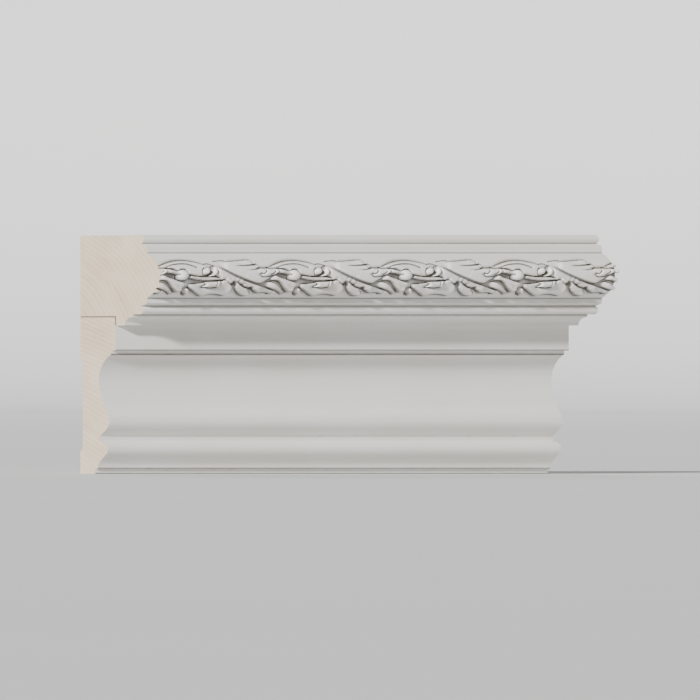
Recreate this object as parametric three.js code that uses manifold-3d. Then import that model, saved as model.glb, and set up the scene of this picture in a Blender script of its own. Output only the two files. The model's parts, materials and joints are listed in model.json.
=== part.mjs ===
// A chair rail in two pieces: a cap with a carved acanthus band, over a moulded lower board.
// Millimetres. x runs along the rail, y runs into the wall, and z is up.
import * as THREE from 'three';
import { mergeVertices } from 'three/addons/utils/BufferGeometryUtils.js';
import Module from 'manifold-3d';

const wasm = await Module();
wasm.setup();

// The length of rail, and the clearance between its two pieces
const railLength = 250;
const jointGap = 0.3;

// Lower board: its thickness and full height, and how far the cap's lip laps over its face
const boardThickness = 20;
const boardHeight = 86.7;
const lipLap = 5.1;

// Lower board, heights from the bottom edge up
const footHeight = 2.6;
const baseOgeeHeight = 15.4;
const baseFilletHeight = 3;
const bodyOgeeHeight = 44.9;
const bodyFilletHeight = 2.2;

// Lower board, depths from the wall plane
const footDepth = 8.5;
const baseHollowDepth = 9.9;
const baseNoseDepth = 15.9;
const baseFilletDepth = 11.3;
const bodyNoseDepth = 16.6;
const bodyHollowDepth = 10.5;
const bodyFilletDepth = 17.5;

// The shallow relief that is cut in the board's back
const backReliefDepth = 1.4;
const backReliefBottom = 12.4;
const backReliefTop = 63.2;

// Cap, heights from the lip up
const coveRadius = 4.7;
const coveFilletHeight = 1.4;
const lowerBeadHeight = 4.6;
const bevelHeight = 1.4;
const lowerFilletHeight = 3;
const upperFilletHeight = 4;
const topBeadHeight = 4.6;

// Cap, depths from the wall plane
const coveFilletDepth = 29.9;
const lowerBeadNose = 35.7;
const beadRadius = 2.5;
const filletDepth = 37.8;
const torusRadius = 14.3;
const torusNose = 44.8;
const topBeadNose = 36.2;

// Carving: one repeat's length, where a repeat starts near the left end, and how deep it roots in the torus
const repeatLength = 61.3;
const repeatStart = -3.1;
const carvingRoot = 0.8;

// A carved stem swells from this share of its height at its edges, and a leaf is scooped out by this share
const stemEdgeShare = 0.55;
const leafScoopShare = 0.4;

// How finely the round forms are divided
const capCurveSegments = 6;
const boardCurveSegments = 8;
const lobeStrips = 4;
const ballSides = 10;
const ballRings = 8;

// Heights that follow from the sizes above
const lipHeight = boardHeight + jointGap - lipLap;
const rebateHeight = boardHeight + jointGap;
const torusCentreDepth = torusNose - torusRadius;
const torusHalfHeight = Math.sqrt(torusRadius ** 2 - (filletDepth - torusCentreDepth) ** 2);
const lowerBeadBottom = lipHeight + coveRadius + coveFilletHeight;
const lowerBeadTop = lowerBeadBottom + lowerBeadHeight;
const lowerFilletBottom = lowerBeadTop + bevelHeight;
const torusBottom = lowerFilletBottom + lowerFilletHeight;
const torusCentreHeight = torusBottom + torusHalfHeight;
const torusTop = torusCentreHeight + torusHalfHeight;
const upperFilletTop = torusTop + upperFilletHeight;
const topBeadBottom = upperFilletTop + bevelHeight;
const capTop = topBeadBottom + topBeadHeight;

// The part's origin: the middle of the cap's back, where the rail is fixed to the wall
const originHeight = (rebateHeight + capTop) / 2;

const paint = { roughness: 0.45, metalness: 0 };

// Closed mesh to solid, and back
function solid(geometry) {
  const bare = geometry.clone();
  bare.deleteAttribute('normal');
  bare.deleteAttribute('uv');
  const merged = mergeVertices(bare, 1e-5);
  return new wasm.Manifold(new wasm.Mesh({
    numProp: 3,
    vertProperties: new Float32Array(merged.attributes.position.array),
    triVerts: new Uint32Array(merged.index.array),
  }));
}

function geometryOf(manifold) {
  const mesh = manifold.getMesh();
  const geometry = new THREE.BufferGeometry();
  geometry.setAttribute('position', new THREE.BufferAttribute(mesh.vertProperties, 3));
  geometry.setIndex(new THREE.BufferAttribute(mesh.triVerts, 1));
  geometry.computeVertexNormals();
  return geometry;
}

// A profile of (depth, height) points, run along the whole rail
function runMoulding(profile, curveSegments) {
  const settings = { depth: railLength, bevelEnabled: false, curveSegments };
  const geometry = new THREE.ExtrudeGeometry(profile, settings);
  const towardsViewer = new THREE.Vector3(0, -1, 0);
  const up = new THREE.Vector3(0, 0, 1);
  const leftwards = new THREE.Vector3(-1, 0, 0);
  const place = new THREE.Matrix4().makeBasis(towardsViewer, up, leftwards).setPosition(railLength, 0, 0);
  return geometry.applyMatrix4(place);
}

// A round bead from one height down to another, with its nose at the given depth
function bead(profile, nose, radius, from, to) {
  const middle = (from + to) / 2;
  const half = Math.asin((from - middle) / radius);
  profile.absarc(nose - radius, middle, radius, half, -half, true);
}

// Cap: top bead, fillet, torus, fillet, lower bead, cove and lip, with a rebate for the board behind the lip
function capProfile() {
  const profile = new THREE.Shape();
  profile.moveTo(0, rebateHeight);
  profile.lineTo(0, capTop);
  bead(profile, topBeadNose, beadRadius, capTop, topBeadBottom);
  profile.lineTo(filletDepth, upperFilletTop);
  bead(profile, torusNose, torusRadius, torusTop, torusBottom);
  profile.lineTo(filletDepth, lowerFilletBottom);
  bead(profile, lowerBeadNose, beadRadius, lowerBeadTop, lowerBeadBottom);
  profile.lineTo(coveFilletDepth, lowerBeadBottom);
  profile.lineTo(coveFilletDepth, lowerBeadBottom - coveFilletHeight);
  profile.absarc(coveFilletDepth, lipHeight, coveRadius, Math.PI / 2, Math.PI, false);
  profile.lineTo(boardThickness + jointGap, lipHeight);
  profile.lineTo(boardThickness + jointGap, rebateHeight);
  return profile;
}

// Lower board: plain face, fillet, body ogee, fillet, base ogee and foot, with a shallow relief in the back
function boardProfile() {
  const baseOgeeTop = footHeight + baseOgeeHeight;
  const baseNose = footHeight + baseOgeeHeight * 0.75;
  const bodyOgeeBottom = baseOgeeTop + baseFilletHeight;
  const bodyHeight = (share) => bodyOgeeBottom + bodyOgeeHeight * share;
  const bodySwell = bodyNoseDepth - bodyHollowDepth;
  const faceBottom = bodyHeight(1) + bodyFilletHeight;

  const profile = new THREE.Shape();
  profile.moveTo(0, boardHeight);
  profile.lineTo(boardThickness, boardHeight);
  profile.lineTo(boardThickness, faceBottom);
  profile.lineTo(bodyFilletDepth, faceBottom);
  profile.lineTo(bodyFilletDepth, bodyHeight(1));
  profile.bezierCurveTo(
    bodyHollowDepth + bodySwell * 0.5, bodyHeight(0.95),
    bodyHollowDepth, bodyHeight(0.81),
    bodyHollowDepth, bodyHeight(0.69));
  profile.bezierCurveTo(
    bodyHollowDepth, bodyHeight(0.58),
    bodyHollowDepth + bodySwell * 0.27, bodyHeight(0.47),
    bodyHollowDepth + bodySwell * 0.45, bodyHeight(0.38));
  profile.bezierCurveTo(
    bodyHollowDepth + bodySwell * 0.65, bodyHeight(0.3),
    bodyNoseDepth, bodyHeight(0.26),
    bodyNoseDepth, bodyHeight(0.18));
  profile.bezierCurveTo(
    bodyNoseDepth, bodyHeight(0.11),
    (bodyNoseDepth + baseFilletDepth) / 2, bodyHeight(0.055),
    baseFilletDepth, bodyOgeeBottom);
  profile.lineTo(baseFilletDepth, baseOgeeTop);
  profile.bezierCurveTo(
    (baseFilletDepth + baseNoseDepth) / 2, baseOgeeTop,
    baseNoseDepth, baseNose + baseOgeeHeight * 0.16,
    baseNoseDepth, baseNose);
  profile.bezierCurveTo(
    baseNoseDepth, footHeight + baseOgeeHeight * 0.45,
    baseHollowDepth, footHeight + baseOgeeHeight * 0.36,
    baseHollowDepth, footHeight);
  profile.lineTo(footDepth, footHeight);
  profile.lineTo(footDepth, 0);
  profile.lineTo(0, 0);
  profile.lineTo(0, backReliefBottom);
  profile.lineTo(backReliefDepth, backReliefBottom + backReliefDepth);
  profile.lineTo(backReliefDepth, backReliefTop - backReliefDepth);
  profile.lineTo(0, backReliefTop);
  return profile;
}

// The carving of one repeat. Each lobe lies between two edges, drawn from its root to its tip by a few
// points: along the rail from the start of the repeat, and up from the middle of the torus. Heights are
// at root and tip.
const lobes = {
  scroll: {
    form: 'rounded',
    heights: [1.7, 2.3],
    upper: [[0, 4], [5.5, 6.1], [15, 8.2], [24.2, 6.9], [29.2, 4.4]],
    lower: [[1.1, 3.5], [8.8, 3.3], [14.3, 1.9], [20.4, -0.1], [26.4, -0.6]],
  },
  volute_wrap: {
    form: 'rounded',
    heights: [2, 2.6],
    upper: [[28.3, 5.7], [31.9, 4.9], [33.7, 2.2], [31.9, -0.1], [27, -0.9]],
    lower: [[29.2, 4.1], [30.3, 3], [30.4, 1.6], [29.2, 0.2], [27, -0.2]],
  },
  left_stem: {
    form: 'rounded',
    heights: [2.1, 2.5],
    upper: [[4.7, 3.7], [8.8, 3.3], [12.7, 1.3]],
    lower: [[5, 0.9], [8.3, 0.4], [12.1, -1.4]],
  },
  right_stem: {
    form: 'rounded',
    heights: [2.7, 2],
    upper: [[17.6, 0.3], [22.6, -0.6], [28.6, -0.9], [33.6, -0.2], [37.7, -1.6]],
    lower: [[15.4, -3.4], [18.7, -2.1], [24.2, -2.9], [30.3, -3.2], [37.7, -2.2]],
  },
  folded_scrap: {
    form: 'hollow',
    heights: [2.5, 2.3],
    upper: [[25, -3.3], [30.8, -3.3], [36.9, -2.4]],
    lower: [[24.1, -6.3], [30.7, -6.7], [34.1, -6.2]],
  },
  upper_lobe_1: {
    form: 'hollow',
    heights: [1.5, 2.2],
    upper: [[29.7, 6.1], [35.2, 7.7], [42.9, 8.1], [51.2, 8.6], [55.6, 6.5]],
    lower: [[30.8, 5.5], [37.4, 5.5], [44, 5.1], [49.5, 5.5], [55.6, 6]],
  },
  upper_lobe_2: {
    form: 'hollow',
    heights: [1.6, 2.3],
    upper: [[34.1, 5.1], [42.4, 5], [49.5, 5.4], [55.4, 6.1], [57.3, 4.4]],
    lower: [[38.5, 3.3], [45.1, 2.7], [50.6, 2.8], [53.9, 3.2], [57.3, 3.9]],
  },
  curled_finger: {
    form: 'rounded',
    heights: [1.7, 2.8],
    upper: [[41.8, 2.4], [48.4, 2.7], [53.9, 3.1], [57.8, 4], [63.3, 3.9], [66.4, 2.9]],
    lower: [[45.1, 0.4], [50.6, 0.3], [55.6, 0.4], [60.5, -1], [64.4, -0.4], [66.4, 1.2]],
  },
  drooping_lobe: {
    form: 'hollow',
    heights: [1.7, 2.4],
    upper: [[46.2, 0.1], [55, 0.1], [60.5, -1.2], [66, 0.2], [72.1, -2], [78.1, -4.8]],
    lower: [[51.7, -2.8], [58.3, -2.9], [63.3, -3.1], [67.9, -4.2], [71.3, -8.8], [75.1, -8.8]],
  },
  drooping_tip: {
    form: 'rounded',
    heights: [2.4, 1.8],
    upper: [[77.8, -4.9], [78.5, -6.6], [78.4, -9.4], [77.9, -11.2]],
    lower: [[73.7, -6.1], [75.1, -8.3], [75.9, -10.2], [76.6, -11.4]],
  },
  midrib_finger: {
    form: 'hollow',
    heights: [2.1, 2.3],
    upper: [[44, -0.1], [51.7, -3], [58.9, -3.2], [65, -4], [69.4, -7.3], [71.5, -10.5]],
    lower: [[45.1, -0.7], [52.8, -3.9], [61, -6.8], [66, -8.4], [68.2, -9.7], [70.3, -11.6]],
  },
  leaf_root: {
    form: 'hollow',
    heights: [2.3, 1.8],
    upper: [[29.7, 5.8], [35.8, 4.3], [40.7, 1.7], [45.1, -0.6]],
    lower: [[33.6, 3.5], [34.1, 0], [38, -1.7], [41.5, -3.6]],
  },
  wavy_lobe: {
    form: 'hollow',
    heights: [1.6, 2.1],
    upper: [[17.1, -4.8], [22, -4.9], [26.4, -3.9], [33, -3.3], [38, -2.2], [41.8, -3.7]],
    lower: [[17.4, -7.3], [20.9, -10.1], [25.3, -12.3], [31.5, -10.3], [37.4, -11.9], [41.9, -8.3]],
  },
  drop_lobe: {
    form: 'hollow',
    heights: [1.7, 2.2],
    upper: [[45.4, -1.7], [47.2, -5.1], [50.8, -7.5], [52.9, -9.4], [52.3, -11.6]],
    lower: [[42.8, -1.1], [43.1, -4.4], [44, -8.3], [46.8, -11.2], [50, -12.1]],
  },
  lower_tip: {
    form: 'hollow',
    heights: [1.8, 2.2],
    upper: [[45.4, -1.3], [52.6, -4.1], [61, -7.2], [65.5, -8.7]],
    lower: [[47.9, -4.9], [51.7, -7.1], [59.4, -9.7], [64.4, -10.8]],
  },
};

// How a lobe rises between its edges, as shares of its height
const crossSections = {
  rounded: (across) => stemEdgeShare + (1 - stemEdgeShare) * Math.sin(Math.PI * across),
  hollow: (across) => 1 - leafScoopShare * Math.sin(Math.PI * across),
};

// Round work of one repeat: where its middle stands, its radius, and how far it rises
const balls = {
  berry: { at: [15.1, 0.3], radius: 3.3, rise: 3.2 },
  volute: { at: [27.8, 2.5], radius: 2.6, rise: 2.8 },
};

// A place on the torus: along the rail, up from its middle, and out from its surface. The band is drawn
// obliquely, so a place stands further back along the rail by the depth of the torus there.
function onTorus(along, up, out) {
  const surface = Math.sqrt(torusRadius ** 2 - up ** 2);
  const raised = Math.sqrt((torusRadius + out) ** 2 - up ** 2);
  return [along - (surface - torusRadius), -(torusCentreDepth + raised), torusCentreHeight + up];
}

// A carved lobe: a low raised form between its two edges, with upright sides that go down into the torus
function lobeGeometry({ form, heights, upper, lower }) {
  const curveThrough = (edge) => new THREE.SplineCurve(edge.map(([u, v]) => new THREE.Vector2(u, v)));
  const edges = [curveThrough(upper), curveThrough(lower)];
  const lobeSteps = upper.length;
  const positions = [];
  const index = [];
  for (let step = 0; step <= lobeSteps; step += 1) {
    const along = step / lobeSteps;
    const [a, b] = edges.map((edge) => edge.getPoint(along));
    const rise = THREE.MathUtils.lerp(heights[0], heights[1], along);
    positions.push(...onTorus(a.x, a.y, -carvingRoot));
    for (let strip = 0; strip <= lobeStrips; strip += 1) {
      const across = strip / lobeStrips;
      const p = a.clone().lerp(b, across);
      positions.push(...onTorus(p.x, p.y, rise * crossSections[form](across)));
    }
    positions.push(...onTorus(b.x, b.y, -carvingRoot));
  }
  const ring = lobeStrips + 3;
  for (let step = 0; step < lobeSteps; step += 1) {
    for (let i = 0; i < ring; i += 1) {
      const here = step * ring + i;
      const next = step * ring + (i + 1) % ring;
      index.push(here, next, here + ring, next, next + ring, here + ring);
    }
  }
  const last = lobeSteps * ring;
  for (let i = 1; i < ring - 1; i += 1) {
    index.push(0, i + 1, i);
    index.push(last, last + i, last + i + 1);
  }
  const geometry = new THREE.BufferGeometry();
  geometry.setAttribute('position', new THREE.Float32BufferAttribute(positions, 3));
  geometry.setIndex(index);
  return geometry;
}

function ballGeometry({ at: [u, v], radius, rise }) {
  const geometry = new THREE.SphereGeometry(radius, ballSides, ballRings);
  geometry.scale(1, rise / radius, 1);
  geometry.rotateX(Math.PI / 2 + Math.asin(v / torusRadius));
  return geometry.translate(...onTorus(u, v, 0));
}

// The cap, with every repeat of the carving on its torus, cut square at both ends
function carvedCap() {
  const carving = [...Object.values(lobes).map(lobeGeometry), ...Object.values(balls).map(ballGeometry)];
  let cap = solid(runMoulding(capProfile(), capCurveSegments));
  for (let start = repeatStart - repeatLength; start < railLength; start += repeatLength) {
    for (const work of carving) {
      cap = cap.add(solid(work.clone().translate(start, 0, 0)));
    }
  }
  const block = new THREE.BoxGeometry(railLength, 4 * torusNose, 4 * capTop);
  return cap.intersect(solid(block.translate(railLength / 2, 0, 0)));
}

const rail = new THREE.Group();
const mouldings = new THREE.Group();
mouldings.position.set(-railLength / 2, 0, -originHeight);
rail.add(mouldings);

const cap = new THREE.Mesh(
  geometryOf(carvedCap()),
  new THREE.MeshStandardMaterial({ color: 0xf1efe8, ...paint }),
);
cap.name = 'carved_cap';
mouldings.add(cap);

const board = new THREE.Mesh(
  runMoulding(boardProfile(), boardCurveSegments),
  new THREE.MeshStandardMaterial({ color: 0xefece4, ...paint }),
);
board.name = 'lower_board';
mouldings.add(board);

export default rail;
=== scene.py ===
"""A painted two-piece chair rail: a carved cap over a moulded lower board, with bare sawn ends and back."""
import json
import math

import bmesh
import bpy
import numpy as np
from mathutils import Matrix, Vector


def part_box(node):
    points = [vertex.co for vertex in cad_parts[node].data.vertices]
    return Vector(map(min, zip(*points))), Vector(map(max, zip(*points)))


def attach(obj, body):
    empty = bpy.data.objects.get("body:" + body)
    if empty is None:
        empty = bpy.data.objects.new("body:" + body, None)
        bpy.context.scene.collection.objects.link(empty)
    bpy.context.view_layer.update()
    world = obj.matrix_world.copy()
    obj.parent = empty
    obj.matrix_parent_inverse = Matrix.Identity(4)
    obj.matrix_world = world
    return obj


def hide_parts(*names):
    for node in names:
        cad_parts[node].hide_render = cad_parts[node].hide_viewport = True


# All sizes below are in millimetres. Depths run from the wall plane out, and heights from the rail's bottom
# edge up.
MM = 0.001
TINY = 1e-6  # stands in for a length of nothing where lengths are divided by

# Lower board
BOARD_THICKNESS = 20
FOOT_HEIGHT = 2.6
BASE_OGEE_HEIGHT = 15.4
BASE_FILLET_HEIGHT = 3
BODY_OGEE_HEIGHT = 44.9
BODY_FILLET_HEIGHT = 2.2
FOOT_DEPTH = 8.5
BASE_HOLLOW_DEPTH = 9.9
BASE_NOSE_DEPTH = 15.9
BASE_FILLET_DEPTH = 11.3
BODY_NOSE_DEPTH = 16.6
BODY_HOLLOW_DEPTH = 10.5
BODY_FILLET_DEPTH = 17.5
BACK_RELIEF_DEPTH = 1.4
BACK_RELIEF_BOTTOM = 12.4
BACK_RELIEF_TOP = 63.2

# Cap, glued to the board with a thin line between them
GLUE_LINE = 0.06
COVE_RADIUS = 4.7
COVE_FILLET_HEIGHT = 1.4
LOWER_BEAD_HEIGHT = 4.6
BEVEL_HEIGHT = 1.4
LOWER_FILLET_HEIGHT = 3
UPPER_FILLET_HEIGHT = 4
COVE_FILLET_DEPTH = 29.9
LOWER_BEAD_NOSE = 35.7
BEAD_RADIUS = 2.5
FILLET_DEPTH = 37.8
TORUS_RADIUS = 14.3
TORUS_NOSE = 44.8
TOP_BEAD_NOSE = 36.2

# Carving: one repeat's length, and where a repeat starts from the left end
REPEAT_LENGTH = 61.3
REPEAT_START = -3.1
MEAN_RELIEF = 1.2  # work this high stands where it is drawn, and higher work stands further left
BERRY_MARGIN = 0.05  # from the berry's top to the furthest that the cap reaches

# How finely the meshes are divided: columns of the carving and of the plain work, rows of the carving, and
# steps of an arc or a curve
CARVED_COLUMNS = 832
PLAIN_COLUMNS = 52
CARVED_ROWS = 98
ARC_STEPS = 12

# How painted arrises and inner corners are eased, and how flat faces are kept flat beside them
EASE = 0.35
EASE_SHARE = 0.4  # the most that the easing takes of a short side
EASE_END_MARK = 0.7  # how strongly the ends of the easing are marked, with its middle as 1
GUARD = 0.5  # from the easing to the flat
GUARDED_SIDE = 2.2 * (EASE + GUARD)  # the shortest side with a flat kept
TORUS_GUARD = 0.8  # from the torus to the plain work beside it
SHARP_TURN = math.radians(20)

# The materials of a piece in their order, and how its bare faces are known
PAINTED, SAWN, PLANED = 0, 1, 2
FACING_ALONG = 0.99
FACING_BACK = 0.5
AT_END = 1e-6
BACK_REACH = BACK_RELIEF_DEPTH + 0.2

# Colours, and the tint of the paint's warmer patches
WOOD_LIGHT, WOOD_DARK = (0.8, 0.69, 0.52, 1), (0.66, 0.52, 0.35, 1)
# End grain is darker than long grain, and these are darkened further as painted shade, since the sawn ends
# face the key light
END_GRAIN_SHADED_PALE, END_GRAIN_SHADED_DEEP = (0.62, 0.5, 0.36, 1), (0.46, 0.35, 0.23, 1)
WOOD_PALE = (0.84, 0.75, 0.6, 1)
WORN_WOOD = (0.66, 0.56, 0.42, 1)
# A dark colour: painted shade in the carving's creases and eyes and the mouldings' inner corners, and the
# glue line on the sawn ends
SHADE_AND_GLUE_DARK = (0.075, 0.055, 0.04, 1)
WARMTH = (0.97, 0.955, 0.92)
FLOOR_DARK, FLOOR_LIGHT = (0.64, 0.64, 0.64, 1), (0.67, 0.67, 0.66, 1)

# The joint line on the sawn ends, a dark glue line widened as painted shade in the joint, and the growth
# rings
JOINT_LINE_WIDTH = 0.75
RING_WIDTH = 2.4 * MM
RING_WANDER = 2.5  # the rings bend by so many of their widths
SEASONS_PER_METRE = 130  # how often wide and narrow rings take turns

# Where the tree's pith lay beside each piece, in metres
CAP_PITH, BOARD_PITH = (0, 0.03, -0.04), (0, 0.06, -0.19)

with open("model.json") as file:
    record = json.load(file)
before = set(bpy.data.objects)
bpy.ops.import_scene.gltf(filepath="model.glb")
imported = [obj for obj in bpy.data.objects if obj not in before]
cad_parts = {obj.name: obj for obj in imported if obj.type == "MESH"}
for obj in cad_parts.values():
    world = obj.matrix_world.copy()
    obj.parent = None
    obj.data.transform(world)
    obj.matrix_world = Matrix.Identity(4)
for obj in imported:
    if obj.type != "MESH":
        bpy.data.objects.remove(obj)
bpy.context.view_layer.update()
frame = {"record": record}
cap_low, cap_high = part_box("carved_cap")
board_low, board_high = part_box("lower_board")

LENGTH = (cap_high.x - cap_low.x) / MM
ORIGIN_HEIGHT = -board_low.z / MM
CAP_TOP = cap_high.z / MM + ORIGIN_HEIGHT
LIP_HEIGHT = cap_low.z / MM + ORIGIN_HEIGHT
BOARD_HEIGHT = board_high.z / MM + ORIGIN_HEIGHT
TORUS_DEPTH = TORUS_NOSE - TORUS_RADIUS
TORUS_HALF_HEIGHT = math.sqrt(TORUS_RADIUS ** 2 - (FILLET_DEPTH - TORUS_DEPTH) ** 2)
LOWER_BEAD_BOTTOM = LIP_HEIGHT + COVE_RADIUS + COVE_FILLET_HEIGHT
LOWER_BEAD_TOP = LOWER_BEAD_BOTTOM + LOWER_BEAD_HEIGHT
LOWER_FILLET_BOTTOM = LOWER_BEAD_TOP + BEVEL_HEIGHT
TORUS_BOTTOM = LOWER_FILLET_BOTTOM + LOWER_FILLET_HEIGHT
TORUS_MIDDLE = TORUS_BOTTOM + TORUS_HALF_HEIGHT
TORUS_TOP = TORUS_MIDDLE + TORUS_HALF_HEIGHT
UPPER_FILLET_TOP = TORUS_TOP + UPPER_FILLET_HEIGHT
TOP_BEAD_BOTTOM = UPPER_FILLET_TOP + BEVEL_HEIGHT
BERRY_RISE = -cap_low.y / MM - TORUS_NOSE - BERRY_MARGIN

# The carving of one repeat, from the back of the work to its front. Each lobe lies between two edges, drawn
# from its root to its tip: along the rail from the start of the repeat, and up from the middle of the torus.
# Its heights are at root and tip. At its root, at its tip and along its lower edge it melts into what is
# behind it, over the three lengths given by "fades".
LOBES = {
    "scroll": {
        "form": "scroll", "heights": (2.7, 2.5), "fades": (1, 0, 0),
        "upper": [(-0.2, 4.1), (2.2, 5.5), (5.9, 7), (10.1, 8), (15.4, 8.3), (19.6, 7.8), (23.8, 6.9),
                  (28.1, 5.6)],
        "lower": [(0.6, 3.9), (4.3, 3.8), (8, 3.5), (10.4, 2.6), (13, 1), (18, 0.3), (22.5, -0.5),
                  (27.8, -0.7)],
    },
    "upper_blade": {
        "form": "blade", "heights": (1.3, 1.9), "fades": (7, 0, 0),
        "upper": [(31.4, 7.5), (37.5, 7.9), (42.7, 8.2), (47.5, 8.6), (51.2, 8.8), (53.8, 8), (55.4, 6.4),
                  (57, 4.3)],
        "lower": [(32, 5.9), (37.5, 3.2), (42.7, 0.5), (48, -1.8), (53.3, -3.9), (57, -4.5), (60, -3),
                  (64, -1)],
    },
    "upper_lobe_1": {
        "form": "leaf", "heights": (1.4, 2.9), "fades": (17, 0, 0),
        "upper": [(33, 7.6), (37.5, 7.9), (42.7, 8.2), (47.5, 8.6), (51.2, 8.8), (53.8, 8), (55.4, 6.5)],
        "lower": [(34, 5.8), (38, 5.3), (42, 5.2), (46.4, 5.3), (49, 5.4), (52.5, 5.8), (55.4, 6.2)],
    },
    "upper_lobe_2": {
        "form": "leaf", "heights": (1.4, 2.9), "fades": (18, 0, 0),
        "upper": [(38, 5.2), (42, 5.1), (46.4, 5.2), (51.2, 5.5), (55.2, 6.1), (56.5, 5.4), (57, 4.4)],
        "lower": [(40, 3), (44, 2.8), (48, 2.8), (53, 3), (55, 3.3), (56.2, 3.8), (57, 4.3)],
    },
    "drooping_lobe": {
        "form": "leaf", "heights": (2.2, 3.1), "fades": (12, 0, 0),
        "upper": [(52, 0.5), (56.5, 0.4), (61, -0.4), (65.7, 0.5), (69, -0.8), (74.3, -2.8), (77, -3.9),
                  (78.2, -5.2)],
        "lower": [(54, -2.8), (58, -2.9), (62.3, -3), (65.4, -2.8), (67.5, -3.9), (69.3, -6),
                  (71.5, -9.1), (75, -8.8)],
    },
    "drooping_tip": {
        "form": "stem", "heights": (2.4, 2), "fades": (3.5, 0, 0),
        "upper": [(77.4, -4.3), (78.2, -5.2), (78.5, -6.8), (78.4, -8.4), (78.5, -10), (77.8, -11),
                  (76.9, -11.3)],
        "lower": [(73.8, -5.2), (74.4, -6.5), (75, -8), (75.6, -9), (75.9, -10), (76.2, -10.8),
                  (76.8, -11.3)],
    },
    "midrib_finger": {
        "form": "leaf", "heights": (2.2, 3.1), "fades": (12, 0, 0),
        "upper": [(52, -3), (56, -3.3), (60, -3.1), (63.8, -3.3), (66.4, -4.4), (68.5, -6.3),
                  (70.4, -8.6), (71.4, -10.1)],
        "lower": [(52.5, -3.6), (55.5, -4.7), (58.5, -5.7), (61.6, -6.8), (65.1, -8.2), (66.9, -8.9),
                  (68.8, -10.6), (70, -11.2)],
    },
    "leaf_body": {
        "form": "ramp", "heights": (2.2, 1.9), "fades": (1, 4, 2.5),
        "upper": [(30.6, 6.2), (33.8, 5.2), (37.5, 3.1), (42.7, 0.4), (48, -1.9), (53.3, -4)],
        "lower": [(31, -1), (34, -4), (37, -6), (40.8, -6), (45, -6), (50, -7)],
    },
    "wavy_lobe": {
        "form": "leaf", "heights": (2, 2.1), "fades": (1.2, 0, 0),
        "upper": [(39.5, -2.1), (37, -2.4), (34, -2.9), (31, -3.1), (27, -3.4), (22, -4.3), (17.3, -4.5)],
        "lower": [(41.6, -4.5), (42, -7.6), (39.6, -10.6), (37, -11.3), (34.4, -10.7), (31.1, -10.3),
                  (28, -10.8), (25.4, -11.5), (23.3, -11.1), (20.3, -8.9), (17.4, -6.8)],
    },
    "lower_tip": {
        "form": "leaf", "heights": (1.8, 2.4), "fades": (3, 0, 0), "flutes": 2,
        "upper": [(44.9, -0.6), (48, -1.9), (53.3, -4), (58.5, -5.8), (62, -7), (65.4, -8.4)],
        "lower": [(45.6, -3.7), (48, -6.1), (50.9, -7), (53.2, -8.4), (55.9, -9.7), (59.6, -9.4),
                  (63.3, -10.5), (65.2, -9.4)],
    },
    "drop_lobe": {
        "form": "leaf", "heights": (1.8, 2.6), "fades": (1, 0, 0),
        "upper": [(44.8, -1.2), (45.6, -3.4), (48, -6), (50.9, -7.2), (52.4, -8.5), (53, -9.8),
                  (52.3, -11)],
        "lower": [(43.3, -2.6), (43.1, -5), (43, -6.8), (43.8, -8.6), (45.4, -10.3), (47.5, -11.2),
                  (50.6, -11.4)],
    },
    "folded_scrap": {
        "form": "flap", "heights": (2.9, 2.9), "fades": (0, 0, 0),
        "upper": [(24.8, -3.2), (28, -3.1), (32.2, -2.9), (35, -2.6), (37.7, -2.1)],
        "lower": [(25.6, -3.8), (26.2, -4.3), (25.9, -5.1), (23.9, -6.3), (26.9, -6.7), (30.1, -6.8),
                  (33.7, -6.4), (34.8, -4.7), (36.5, -3.1)],
    },
    "left_stem": {
        "form": "stem", "heights": (2.9, 2.9), "fades": (1, 0, 0),
        "upper": [(3, 4), (5.5, 3.9), (8, 3.6), (10.4, 2.7), (12.4, 1.5)],
        "lower": [(3.4, 1.3), (5.9, 1.1), (8.5, 0.7), (10.9, -0.2), (12.4, -2)],
    },
    "right_stem": {
        "form": "stem", "heights": (2.6, 2.2), "fades": (0, 4, 0),
        "upper": [(17.4, 0.4), (21.7, -0.3), (26.9, -0.7), (30.6, -0.6), (34, -0.9), (37.7, -1.8)],
        "lower": [(16.6, -2.2), (18, -1.8), (21.7, -2.6), (26.9, -3), (32.2, -2.8), (37.7, -2.2)],
    },
    "volute_wrap": {
        "form": "stem", "heights": (2.3, 2.8), "fades": (1, 1, 0),
        "upper": [(28.9, 5.4), (30.1, 5), (31.4, 5), (32.9, 4), (33.5, 2.2), (32.7, 0.5), (30.6, -0.6),
                  (27.8, -0.8)],
        "lower": [(29.4, 4.6), (29.7, 4), (29.9, 3), (29.7, 2), (29.3, 1.1), (28.7, 0.5), (28.2, 0.1),
                  (27.6, -0.1)],
    },
    "curled_finger": {
        "form": "stem", "heights": (1.6, 3), "fades": (7, 0, 0),
        "upper": [(50, 2.6), (53.5, 3.2), (57.2, 4.3), (60.6, 4.1), (63.8, 4.1), (65.9, 3.9),
                  (66.5, 2.7)],
        "lower": [(51.5, 0.6), (55.6, 0.3), (57.5, -0.7), (60.1, -1), (63.8, 0), (65.9, 1.4),
                  (66.5, 2.4)],
    },
}

# How a lobe's surface lies between its edges, as a share of its height. Across runs from 0 at its upper edge
# to 1 at its lower one, and the swell from 0 at both to 1 midway.
FORMS = {
    "stem": lambda across, swell: 0.62 + 0.38 * swell ** 0.7,
    "leaf": lambda across, swell: 1 - 0.35 * swell ** 1.3,
    "scroll": lambda across, swell: 0.7 + 0.3 * np.exp(-(across / 0.2) ** 2) + 0.15 * across ** 2,
    "blade": lambda across, swell: 1 - 0.12 * swell,
    "ramp": lambda across, swell: 1 - 0.2 * across,
    "flap": lambda across, swell: 0.65 + 0.35 * across,
}

# Round work: where its middle stands, its radius, and how far it rises
BALLS = {
    "volute": ((27.8, 2.6), 2.3, 2.8),
    "berry": ((15.2, 0.2), 3.2, BERRY_RISE),
}


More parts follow.
